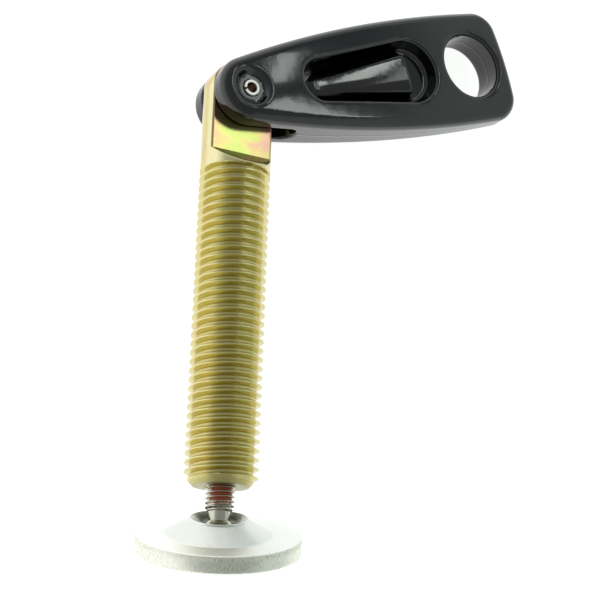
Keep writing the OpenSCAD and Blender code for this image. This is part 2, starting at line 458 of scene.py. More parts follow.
@dataclass(frozen=True)
class Thread:
    """A right-hand metric thread.

    Args:
        radius: Radius over the crests.
        pitch: Rise of one turn.
        depth: Radial depth of the groove.
        columns: Steps round one turn.
        crest: Share of the pitch that is flat crest.
        root: Share of the pitch that is flat root.
        softness: How far the flanks bend into crest and root.
        runout_turns: Share of a turn over which an open groove runs out.
    """

    radius: float
    pitch: float
    depth: float
    columns: int
    crest: float = 0.125
    root: float = 0.25
    softness: float = 0.2
    runout_turns: float = 0.15

    # Shares of the pitch at which the groove's shape is sampled
    samples = (
        *(0.0, 0.0625, 0.11, 0.18, 0.27, 0.33, 0.38, 0.44),
        *(0.5, 0.56, 0.62, 0.67, 0.73, 0.82, 0.89, 0.9375),
    )

    def radius_at(self, turn: np.ndarray, height: np.ndarray) -> np.ndarray:
        """Radius of the groove: flat crest, straight flanks and rounded root.

        Args:
            turn: Angle in turns.
            height: Height in millimetres.

        Returns:
            The radius at each point.
        """
        phase = height / self.pitch - turn
        wave = np.abs(2 * (phase - np.floor(phase)) - 1)
        share = np.clip((1 - self.crest - wave) / (1 - self.crest - self.root), 0, 1)
        soft = share * share * (3 - 2 * share)
        return self.radius - self.depth * (share + (soft - share) * self.softness)

    def band(self, low: float, high: float, limit: Field, open_top: bool) -> Shell:
        """The threaded surface between two heights, on rows that follow the helix.

        Args:
            low: Height of the lower end.
            high: Height of the upper end.
            limit: Largest radius at each height, such as a lead chamfer.
            open_top: Whether the groove runs out before the upper end.

        Returns:
            A tube whose ends are flat circles.
        """
        turns = np.arange(math.floor(low / self.pitch) - 1, math.ceil(high / self.pitch) + 2)
        start = (turns[:, None] + np.array(self.samples)).ravel()
        turn = np.arange(self.columns) / self.columns
        height = np.clip((start[:, None] + turn) * self.pitch, low, high)
        radius = self.radius_at(np.broadcast_to(turn, height.shape), height)
        if open_top:
            fade = smoothstep(high - self.runout_turns * self.pitch, high, height)
            radius = radius + (self.radius - radius) * fade
        radius = np.minimum(radius, limit(height))
        angle = turn * TURN
        grid = np.stack([radius * np.cos(angle), radius * np.sin(angle), height], -1)
        return Shell.from_rows(grid, wrap=len(self.samples))


@dataclass(frozen=True)
class Grain:
    """A noise pattern.

    Args:
        scale: Patches to a unit of length, roughly.
        detail: Number of finer layers.
        rough: Weight of each finer layer.
        twist: How far the pattern is swirled.
    """

    scale: float
    detail: float = 2.0
    rough: float = 0.5
    twist: float = 0.0


class Value:
    """A number on a shader socket; an expression on values adds its Math nodes."""

    def __init__(self, graph: "Graph", socket: bpy.types.NodeSocket) -> None:
        """Wraps a socket of a graph."""
        self.graph = graph
        self.socket = socket

    def _math(self, operation: str, *operands: "Value | float") -> "Value":
        """Adds a Math node and wraps its result."""
        node = self.graph.node("ShaderNodeMath", {"operation": operation}, dict(enumerate(operands)))
        return Value(self.graph, node.outputs[0])

    def __add__(self, other: "Value | float") -> "Value":
        """Sum."""
        return self._math("ADD", self, other)

    def __radd__(self, other: float) -> "Value":
        """Sum with a plain number first."""
        return self._math("ADD", other, self)

    def __sub__(self, other: "Value | float") -> "Value":
        """Difference."""
        return self._math("SUBTRACT", self, other)

    def __rsub__(self, other: float) -> "Value":
        """Difference from a plain number."""
        return self._math("SUBTRACT", other, self)

    def __mul__(self, other: "Value | float") -> "Value":
        """Product."""
        return self._math("MULTIPLY", self, other)

    def __rmul__(self, other: float) -> "Value":
        """Product with a plain number first."""
        return self._math("MULTIPLY", other, self)

    def __abs__(self) -> "Value":
        """Size without its sign."""
        return self._math("ABSOLUTE", self)

    def hypot(self, other: "Value") -> "Value":
        """Length of the vector that two numbers make."""
        total = self * self + other * other
        return total._math("SQRT", total)

    def angle(self, other: "Value") -> "Value":
        """Angle of the vector (other, self), in radians."""
        return self._math("ARCTAN2", self, other)

    def rise(self, low: float, high: float) -> "Value":
        """Smooth step from 0 at low to 1 at high, or falling where low is above high."""
        settings = {"interpolation_type": "SMOOTHSTEP"}
        if low <= high:
            stops = {"From Min": low, "From Max": high, "To Min": 0.0, "To Max": 1.0}
        else:
            stops = {"From Min": high, "From Max": low, "To Min": 1.0, "To Max": 0.0}
        node = self.graph.node("ShaderNodeMapRange", settings, {"Value": self, **stops})
        return Value(self.graph, node.outputs["Result"])


class Graph:
    """Nodes of one shader tree."""

    def __init__(self, tree: bpy.types.NodeTree) -> None:
        """Takes a tree and clears it."""
        self.tree = tree
        self.tree.nodes.clear()

    def node(self, kind: str, settings: dict[str, Any], sockets: dict[str | int, Any]) -> bpy.types.Node:
        """Adds a node.

        Args:
            kind: The node's type.
            settings: Its own settings, set first; "stops" fills a colour ramp.
            sockets: Values or links of its inputs, by name or number.

        Returns:
            The node.
        """
        node = self.tree.nodes.new(kind)
        for key, setting in settings.items():
            if key == "stops":
                self._fill_ramp(node.color_ramp, setting)
            else:
                setattr(node, key, setting)
        for key, value in sockets.items():
            self._feed(node.inputs[key], value)
        return node

    @staticmethod
    def _fill_ramp(ramp: bpy.types.ColorRamp, stops: Sequence[tuple[float, Sequence[float]]]) -> None:
        """Sets a colour ramp's stops, given as place and colour."""
        while len(ramp.elements) < len(stops):
            ramp.elements.new(1.0)
        for element, (place, colour) in zip(ramp.elements, stops):
            element.position = place
            element.color = (*colour, 1.0)

    def _feed(self, socket: bpy.types.NodeSocket, value: Any) -> None:
        """Links a socket or sets its value."""
        if isinstance(value, Value):
            self.tree.links.new(value.socket, socket)
        elif isinstance(value, bpy.types.NodeSocket):
            self.tree.links.new(value, socket)
        elif isinstance(value, (tuple, list)) and socket.type == "RGBA":
            socket.default_value = (*value, 1.0)
        else:
            socket.default_value = value

    def own_coordinates(self, place: Placement) -> bpy.types.NodeSocket:
        """Object coordinates turned into millimetres of a piece's own frame."""
        turn = Matrix([list(axis) for axis in place.axes])
        shift = turn @ Vector(place.origin) * (-1 / MM)
        source = self.node("ShaderNodeTexCoord", {}, {}).outputs["Object"]
        sockets = {
            "Vector": source,
            "Location": shift,
            "Rotation": turn.to_euler(),
            "Scale": (1 / MM,) * 3,
        }
        return self.node("ShaderNodeMapping", {"vector_type": "POINT"}, sockets).outputs[0]

    def parts(self, vector: bpy.types.NodeSocket) -> tuple[Value, Value, Value]:
        """The three numbers of a vector."""
        node = self.node("ShaderNodeSeparateXYZ", {}, {"Vector": vector})
        return tuple(Value(self, out) for out in node.outputs)

    def vector(self, x: Value, y: Value | float = 0.0, z: Value | float = 0.0) -> bpy.types.NodeSocket:
        """A vector from up to three numbers."""
        return self.node("ShaderNodeCombineXYZ", {}, {"X": x, "Y": y, "Z": z}).outputs[0]

    def stretched(self, parts: Sequence[Value], factors: Sequence[float]) -> bpy.types.NodeSocket:
        """A vector of two or three numbers, each times its own factor."""
        return self.vector(*(part * factor for part, factor in zip(parts, factors)))

    def noise(self, vector: bpy.types.NodeSocket, grain: Grain) -> Value:
        """Noise between 0 and 1 with a mean near one half."""
        sockets = {
            "Vector": vector,
            "Scale": grain.scale,
            "Detail": grain.detail,
            "Roughness": grain.rough,
            "Distortion": grain.twist,
        }
        return Value(self, self.node("ShaderNodeTexNoise", {}, sockets).outputs[0])

    def ramp(self, value: Value, stops: Sequence[tuple[float, Sequence[float]]]) -> bpy.types.NodeSocket:
        """A colour that follows a number."""
        return self.node("ShaderNodeValToRGB", {"stops": stops}, {"Fac": value}).outputs["Color"]

    def blend(self, share: Value, first: Any, second: Any) -> bpy.types.NodeSocket:
        """Mixes two colours."""
        node = self.node("ShaderNodeMix", {"data_type": "RGBA"}, {})
        colours = [socket for socket in node.inputs if socket.type == "RGBA"]
        self._feed(node.inputs[0], share)
        self._feed(colours[0], first)
        self._feed(colours[1], second)
        return next(out for out in node.outputs if out.type == "RGBA")

    def bump(self, height: Value, strength: float, distance: float) -> bpy.types.NodeSocket:
        """A normal from a height, where a height of one stands distance millimetres proud."""
        sockets = {"Height": height, "Strength": strength, "Distance": distance * MM}
        return self.node("ShaderNodeBump", {}, sockets).outputs[0]


class MaterialGraph(Graph):
    """Nodes of one material, around one Principled shader."""

    def __init__(self, name: str) -> None:
        """Makes a material with a shader and its output."""
        self.material = bpy.data.materials.new(name)
        self.material.use_nodes = True
        super().__init__(self.material.node_tree)
        self.shader = self.node("ShaderNodeBsdfPrincipled", {}, {})
        self.node("ShaderNodeOutputMaterial", {}, {"Surface": self.shader.outputs["BSDF"]})

    def finish(self, **sockets: Any) -> bpy.types.Material:
        """Feeds the shader's sockets, named with underscores, and gives the material."""
        for key, value in sockets.items():
            self._feed(self.shader.inputs[key.replace("_", " ").title().replace("Ior", "IOR")], value)
        return self.material


@dataclass(frozen=True)
class YellowZinc:
    """Olive-gold chromate film over bright zinc; spans are in millimetres."""

    film: Ramp = (
        (0.30, (0.58, 0.49, 0.21)),
        (0.46, (0.65, 0.57, 0.25)),
        (0.58, (0.61, 0.55, 0.23)),
        (0.72, (0.67, 0.57, 0.27)),
    )
    oily: Ramp = (
        (0.30, (0.60, 0.38, 0.22)),
        (0.41, (0.58, 0.48, 0.18)),
        (0.50, (0.46, 0.53, 0.15)),
        (0.59, (0.59, 0.48, 0.18)),
        (0.70, (0.60, 0.34, 0.26)),
    )
    bare: Colour = (0.86, 0.81, 0.58)
    deep: Colour = (0.34, 0.27, 0.07)
    # deep: colour of the painted shade in the grooves, also used for the chips near the foot
    foot: Colour = (0.40, 0.38, 0.24)
    clouds: Grain = Grain(0.09, 3.0, 0.55, 0.4)
    mottle: Grain = Grain(0.6, 3.0, 0.6)
    cloud_share: float = 0.75
    pores: Grain = Grain(3.0, 3.0, 0.6)
    sheen: Grain = Grain(0.16, 3.0, 0.5, 0.6)
    sheen_stretch: Factors = (0.9, 1.3, 1.0)
    sheen_gain: float = 0.55
    sheen_base: float = 0.23
    sheen_across: float = 0.02
    nicks: Grain = Grain(1.9, 2.0, 0.6)
    nick_span: Span = (0.68, 0.74)
    nick_heights: Span = (60.0, 30.0)
    chips: Grain = Grain(2.1, 2.0, 0.6)
    chip_span: Span = (0.60, 0.66)
    chip_reach: Span = (0.5, 0.1)
    turning: Grain = Grain(1.0, 2.0, 0.6)
    turning_stretch: Factors = (0.4, 0.4, 9.0)
    plain_fade: float = 1.5
    flat_side: Span = (0.25, 0.05)
    flat_depth: Span = (0.05, 0.3)
    flat_start: float = 0.3
    groove_floor: float = 0.4
    crest_depth: Span = (0.12, 0.02)
    rough_depth: Span = (0.2, 0.05)
    foot_fade: Span = (0.3, 0.05)
    oily_share: float = 0.9
    groove_shade_share: float = 0.25
    crest_share: float = 0.22
    plain_share: float = 0.2
    nick_share: float = 0.6
    chip_share: float = 0.8
    foot_share: float = 0.8
    gloss: float = 0.12
    cloud_rough: float = 0.08
    pore_rough: float = 0.06
    crest_rough: float = 0.10
    groove_rough: float = 0.15
    milled_calm: float = 0.7
    bump: Span = (0.22, 0.05)

    def material(self, place: Placement, screw: "ClampScrew") -> bpy.types.Material:
        """Film that drifts in hue, lighter on the crests, with painted shade darkening the grooves, and
        oily on the milled flats.

        Args:
            place: The screw's frame.
            screw: The screw, for its sizes.

        Returns:
            The material.
        """
        g = MaterialGraph("yellow_zinc")
        own = g.own_coordinates(place)
        x, y, z = g.parts(own)
        radius = x.hypot(y)
        crest_r, root_r = screw.thread_r, screw.thread_r - screw.groove
        drift = g.noise(own, self.clouds) * self.cloud_share
        drift = drift + g.noise(own, self.mottle) * (1 - self.cloud_share)
        pores = g.noise(own, self.pores)
        plain = z.rise(screw.thread_top - self.plain_fade, screw.thread_top)
        milled = (abs(y) - screw.tongue_t / 2).rise(*self.flat_side)
        milled = milled * radius.rise(*(crest_r - depth for depth in self.flat_depth))
        milled = milled * z.rise(screw.seam_z, screw.seam_z + self.flat_start)
        oily = g.noise(g.stretched((x, z, y), self.sheen_stretch), self.sheen) * self.sheen_gain
        oily = oily + self.sheen_base + x * self.sheen_across
        groove = radius.rise(root_r + self.groove_floor, root_r) * (1 - plain)
        crest = radius.rise(*(crest_r - depth for depth in self.crest_depth))
        worn = radius.rise(*(crest_r - depth for depth in self.rough_depth)) * (1 - plain)
        nick = crest * g.noise(own, self.nicks).rise(*self.nick_span) * z.rise(*self.nick_heights)
        chip = g.noise(own, self.chips).rise(*self.chip_span)
        chip = chip * abs(z - screw.foot_chamfer).rise(*self.chip_reach)
        colour = g.blend(milled * self.oily_share, g.ramp(drift, self.film), g.ramp(oily, self.oily))
        # Painted shade: the thread's grooves are darkened towards the deep colour.
        colour = g.blend(groove * self.groove_shade_share, colour, self.deep)
        thin = crest * (self.crest_share + plain * self.plain_share) + nick * self.nick_share
        colour = g.blend(thin, colour, self.bare)
        colour = g.blend(chip * self.chip_share, colour, self.deep)
        colour = g.blend(z.rise(*self.foot_fade) * self.foot_share, colour, self.foot)
        turning = g.noise(g.stretched((x, y, z), self.turning_stretch), self.turning)
        rough = self.gloss + drift * self.cloud_rough + pores * self.pore_rough
        return g.finish(
            base_color=colour,
            metallic=1.0,
            roughness=rough + worn * self.crest_rough + groove * self.groove_rough,
            normal=g.bump((turning + pores) * 0.5 * (1 - milled * self.milled_calm) - chip, *self.bump),
        )


@dataclass(frozen=True)
class BlackPaint:
    """Gloss black paint over a casting, a little lumpy; spans are in millimetres."""

    body: Colour = (0.003, 0.003, 0.0035)
    thin: Colour = (0.007, 0.0075, 0.0075)
    painted_groove_shade: Colour = (0.0, 0.0, 0.0)
    waves: Grain = Grain(0.12, 3.0, 0.5, 0.3)
    thin_span: Span = (0.35, 0.75)
    lumps: Grain = Grain(0.33, 2.0, 0.45)
    peel: Grain = Grain(1.3, 2.0, 0.5)
    dust: Grain = Grain(4.5, 2.0, 0.7)
    dust_span: Span = (0.66, 0.76)
    wander: Grain = Grain(0.22, 4.0, 0.65)
    wander_reach: float = 2.4
    flash_span: Span = (0.5, 0.1)
    groove_end: float = 2.0
    rib_fade: Span = (-0.7, 0.0)
    wall_fade: Span = (0.1, -0.5)
    gloss: float = 0.06
    wave_rough: float = 0.04
    dust_rough: float = 0.1
    ior: float = 1.52
    coat: float = 0.25
    coat_rough: float = 0.04
    lump_h: float = 0.18
    peel_h: float = 0.03
    dust_h: float = 0.03
    flash_h: float = 1.2
    bump: Span = (0.4, 0.16)

    def grooves(self, u: Value, v: Value, lever: "Lever") -> Value:
        """Mask of the two grooves between the rib and the pocket's walls, which no light reaches.

        Args:
            u: Place along the lever.
            v: Place across it.
            lever: The lever, for its pocket's sizes.

        Returns:
            1 in the grooves and 0 elsewhere.
        """
        span = lever.pocket_u2 - lever.pocket_u1
        wall_v = lever.pocket_r1 + (u - lever.pocket_u1) * ((lever.pocket_r2 - lever.pocket_r1) / span)
        rib_v = lever.rib_nose_r + (u - lever.rib_u1) * ((lever.rib_half_w - lever.rib_nose_r) / span)
        starts = u.rise(lever.rib_u1 - self.groove_end, lever.rib_u1)
        ends = u.rise(lever.pocket_u2 + self.groove_end, lever.pocket_u2)
        between = (abs(v) - rib_v).rise(*self.rib_fade) * (abs(v) - wall_v).rise(*self.wall_fade)
        return between * starts * ends

    def material(self, place: Placement, lever: "Lever") -> bpy.types.Material:
        """Deep black with slow waves in the gloss, the casting's lumps below and painted shade in the
        grooves by the rib.

        Args:
            place: The lever's frame.
            lever: The lever, for its pocket's sizes.

        Returns:
            The material.
        """
        g = MaterialGraph("black_paint")
        own = g.own_coordinates(place)
        u, v, w = g.parts(own)
        waves = g.noise(own, self.waves)
        dust = g.noise(own, self.dust).rise(*self.dust_span)
        wander = g.noise(g.vector(u), self.wander) - 0.5
        flash = abs(w - wander * self.wander_reach).rise(*self.flash_span)
        deep = self.grooves(u, v, lever)
        colour = g.blend(waves.rise(*self.thin_span), self.body, self.thin)
        height = g.noise(own, self.lumps) * self.lump_h + g.noise(own, self.peel) * self.peel_h
        return g.finish(
            # Painted shade: the grooves by the rib are made black, unreflecting and without coat.
            base_color=g.blend(deep, colour, self.painted_groove_shade),
            metallic=deep,
            roughness=self.gloss + waves * self.wave_rough + dust * self.dust_rough,
            ior=self.ior,
            coat_weight=self.coat - deep * self.coat,
            coat_roughness=self.coat_rough,
            normal=g.bump(height + dust * self.dust_h + flash * self.flash_h, *self.bump),
        )


@dataclass(frozen=True)
class SpringSteel:
    """Bright rolled steel with brown in its bore; spans are in millimetres."""

    bright: Colour = (0.66, 0.64, 0.61)
    stain: Colour = (0.42, 0.31, 0.23)
    bore_span: Span = (0.14, 0.02)
    pores: Grain = Grain(5.0, 3.0, 0.6)
    drawn: Grain = Grain(1.0, 2.0, 0.5)
    drawn_stretch: Factors = (6.0, 6.0, 0.5)
    stain_share: float = 0.55
    gloss: float = 0.24
    pore_rough: float = 0.16
    bump: Span = (0.3, 0.03)

    def material(self, place: Placement, bore_r: float) -> bpy.types.Material:
        """Bright outside and stained inside the bore.

        Args:
            place: The lever's frame.
            bore_r: Radius of the pin's bore.

        Returns:
            The material.
        """
        g = MaterialGraph("spring_steel")
        own = g.own_coordinates(place)
        u, v, w = g.parts(own)
        inside = u.hypot(v).rise(*(bore_r + reach for reach in self.bore_span))
        pores = g.noise(own, self.pores)
        stained = inside * (self.stain_share + pores * (1 - self.stain_share))
        return g.finish(
            base_color=g.blend(stained, self.bright, self.stain),
            metallic=1.0,
            roughness=self.gloss + pores * self.pore_rough,
            normal=g.bump(g.noise(g.stretched((u, v, w), self.drawn_stretch), self.drawn), *self.bump),
        )


@dataclass(frozen=True)
class StudSteel:
    """Bright steel with a red-brown thread-locking patch on one side; spans are in millimetres."""

    bright: Colour = (0.54, 0.53, 0.46)
    shade: Colour = (0.38, 0.33, 0.29)
    patch: Colour = (0.36, 0.070, 0.020)
    pores: Grain = Grain(4.0, 3.0, 0.6)
    shade_span: Span = (0.5, 0.75)
    shade_share: float = 0.5
    ragged: Grain = Grain(0.9, 3.0, 0.6)
    patch_toward: Span = (-0.25, -0.9)
    patch_width: Span = (1.0, 2.2)
    patch_start: Span = (1.6, 2.2)
    patch_depth: Span = (0.12, 0.40)
    ragged_across: float = 3.2
    ragged_along: float = 1.5
    drawn: Grain = Grain(1.0, 2.0, 0.5)
    drawn_stretch: Factors = (0.5, 0.5, 8.0)
    drawn_share: float = 0.6
    gloss: float = 0.09
    pore_rough: float = 0.10
    patch_rough: float = 0.30
    bump: Span = (0.2, 0.03)

    def material(self, place: Placement, thread_low: float, crest_r: float) -> bpy.types.Material:
        """Steel, with the patch in the grooves above the thread's lower end.

        Args:
            place: The screw's frame.
            thread_low: Height of the thread's lower end.
            crest_r: Radius over the crests.

        Returns:
            The material.
        """
        g = MaterialGraph("stud_steel")
        own = g.own_coordinates(place)
        x, y, z = g.parts(own)
        pores = g.noise(own, self.pores)
        ragged = g.noise(own, self.ragged) - 0.5
        facing = x * self.patch_toward[0] + y * self.patch_toward[1]
        spread = (facing + ragged * self.ragged_across).rise(*self.patch_width)
        along = (z + ragged * self.ragged_along).rise(*(thread_low + start for start in self.patch_start))
        patch = spread * along * x.hypot(y).rise(*(crest_r - depth for depth in self.patch_depth))
        drawn = g.noise(g.stretched((x, y, z), self.drawn_stretch), self.drawn)
        colour = g.blend(pores.rise(*self.shade_span) * self.shade_share, self.bright, self.shade)
        return g.finish(
            base_color=g.blend(patch, colour, self.patch),
            metallic=1.0 - patch,
            roughness=self.gloss + pores * self.pore_rough + patch * self.patch_rough,
            normal=g.bump(drawn * self.drawn_share + pores * (1 - self.drawn_share), *self.bump),
        )


@dataclass(frozen=True)
class TumbledSteel:
    """Satin steel with a fine grain, lightened on the flat ring as painted light, and matt on the turned
    rim.
    """

    painted_lit_ring: Colour = (0.96, 0.97, 0.95)
    bright: Colour = (0.74, 0.76, 0.73)
    shade: Colour = (0.58, 0.60, 0.57)
    rim: Colour = (0.86, 0.87, 0.77)
    worn: Colour = (0.62, 0.62, 0.53)
    nick: Colour = (0.22, 0.21, 0.15)
    edge_depth: Span = (0.35, 0.05)
    upper_depth: Span = (2.2, 0.8)
    lit_ring_reach: Span = (-0.6, 0.4)
    tumbled: Grain = Grain(2.6, 4.0, 0.65)
    shade_span: Span = (0.4, 0.8)
    shade_share: float = 0.6
    upright: Grain = Grain(1.0, 3.0, 0.6)
    upright_stretch: Span = (95.0, 0.9)
    worn_span: Span = (0.38, 0.68)
    rings: Grain = Grain(1.0, 2.0, 0.6)
    rings_stretch: Factors = (5.0, 5.0, 0.3)
    streaks: Grain = Grain(1.0, 2.0, 0.6)
    streaks_stretch: Span = (22.0, 2.0)
    streaks_span: Span = (0.62, 0.70)
    streak_share: float = 0.2
    upper_share: float = 0.6
    nicks: Grain = Grain(1.1, 2.0, 0.5)
    nicks_span: Span = (0.64, 0.72)
    tumbled_h: float = 0.5
    rings_h: float = 0.25
    upright_h: float = 0.7
    nicks_h: float = 0.8
    gloss: float = 0.25
    tumbled_rough: float = 0.12
    level_rough: float = 0.18
    bump: Span = (0.45, 0.07)

    def material(self, place: Placement, pad: "Pad") -> bpy.types.Material:
        """Tumbled grain all over, a painted light ring outside the hub on the upper side, and upright
        marks on the rim's edge.

        Args:
            place: The pad's frame.
            pad: The pad, for its sizes.

        Returns:
            The material.
        """
        g = MaterialGraph("tumbled_steel")
        own = g.own_coordinates(place)
        x, y, z = g.parts(own)
        radius, around = x.hypot(y), y.angle(x)
        edge = radius.rise(*(pad.radius - depth for depth in self.edge_depth))
        upper = z.rise(*(pad.rim_t - pad.ball_up - depth for depth in self.upper_depth))
        level = radius.rise(*(pad.hub_r + reach for reach in self.lit_ring_reach)) * upper
        tumbled = g.noise(own, self.tumbled)
        upright = g.noise(g.stretched((around, z), self.upright_stretch), self.upright)
        rings = g.noise(g.stretched((radius, z, around), self.rings_stretch), self.rings)
        streaks = g.noise(g.stretched((around, z), self.streaks_stretch), self.streaks)
        streaks = streaks.rise(*self.streaks_span)
        nicks = g.noise(own, self.nicks).rise(*self.nicks_span)
        colour = g.blend(tumbled.rise(*self.shade_span) * self.shade_share, self.bright, self.shade)
        # Painted light: the upper flat ring outside the hub is lightened to near white.
        colour = g.blend(level, colour, self.painted_lit_ring)
        colour = g.blend(edge, colour, g.blend(upright.rise(*self.worn_span), self.rim, self.worn))
        streaked = edge * streaks * (self.streak_share + upper * self.upper_share)
        height = tumbled * self.tumbled_h + rings * self.rings_h * (1 - edge)
        return g.finish(
            base_color=g.blend(streaked, colour, self.nick),
            metallic=1.0,
            roughness=self.gloss + tumbled * self.tumbled_rough + level * self.level_rough,
            normal=g.bump(height + upright * edge * self.upright_h - nicks * self.nicks_h, *self.bump),
        )


@dataclass(frozen=True)
class ClampScrew:
    """Threaded shank with a flat tongue at its head and a tapped hole in its foot."""

    place: Placement
    thread_r: float = 10.0
    pitch: float = 2.5
    groove: float = 1.5
    flat_z: float = 93.8
    ramp_l: float = 4.7
    tongue_t: float = 7.3
    pivot_z: float = 111.9
    runout_l: float = 0.6
    foot_chamfer: float = 2.4
    pin_hole_r: float = 2.6
    tap_r: float = 4.05
    tap_l: float = 14.5
    tap_mouth: float = 0.5
    edge_r: float = 0.45
    seam_step: float = 0.15
    seam_fade: Span = (0.1, -0.2)
    overlap: float = 0.3
    margin: float = 1.0
    margin_below: float = 3.0
    cell: float = 0.27
    columns: int = 96

    @property
    def thread_top(self) -> float:
        """Height of the thread's upper end, below the foot of the ramps."""
        return self.flat_z - self.ramp_l - self.runout_l

    @property
    def seam_z(self) -> float:
        """Height at which the thread's plain end meets the head."""
        return self.thread_top + self.runout_l / 2

    def head_field(self, points: np.ndarray) -> np.ndarray:
        """Distance to the head: a cylinder with flats and ramps, rounded over the pivot.

        Args:
            points: Points in the screw's frame.

        Returns:
            The distance at each point.
        """
        x, y, z = points.T
        soft = self.edge_r
        half = self.tongue_t / 2
        tucked = self.seam_step * smoothstep(*(self.seam_z + reach for reach in self.seam_fade), z)
        rod = np.hypot(x, y) - self.thread_r + tucked
        dome = np.where(z > self.pivot_z, np.hypot(x, z - self.pivot_z), np.abs(x)) - self.thread_r
        rise = self.thread_r - half
        ramp = (np.abs(y) - half) * self.ramp_l + (z - self.flat_z) * rise
        ramp = ramp / math.hypot(self.ramp_l, rise)
        flats = np.where(z < self.flat_z, ramp, np.abs(y) - half)
        solid = round_meet(round_meet(rod, flats, soft), dome, soft)
        hole = np.hypot(x, z - self.pivot_z) - self.pin_hole_r
        solid = round_meet(solid, -hole, soft)
        return np.maximum(solid, self.seam_z - self.overlap - z)

    def shell(self) -> Shell:
        """The whole screw: head, thread and foot.

        Returns:
            The joined surfaces.
        """
        r, top = self.thread_r, self.seam_z
        side = r + self.margin
        low = (-side, -side, top - self.margin_below)
        high = (side, side, self.pivot_z + side)
        head = FieldMesher(low, high, self.cell).mesh(self.head_field)
        thread = Thread(r, self.pitch, self.groove, self.columns)
        foot_r = r - self.foot_chamfer
        band = thread.band(0.0, top, lambda height: foot_r + height, open_top=True)
        foot = Shell.revolve(
            np.array(
                [
                    [0.0, self.tap_l],
                    [self.tap_r, self.tap_l],
                    [self.tap_r, self.tap_mouth],
                    [self.tap_r + self.tap_mouth, 0.0],
                    [foot_r, 0.0],
                ]
            ),
            self.columns,
        )
        cap = Shell.revolve(np.array([[r, top], [0.0, top]]), self.columns)
        return Shell.join([head, band, foot, cap])

    def build(self, maker: PieceMaker) -> bpy.types.Object:
        """Makes the screw and dresses it."""
        shell, slot = self.shell(), Slot.YELLOW_ZINC
        piece = maker.make("clamp_screw_body", shell, self.place, "clamp_screw", Body.SCREW)
        piece.data.materials.append(YellowZinc().material(self.place, self))
        return piece


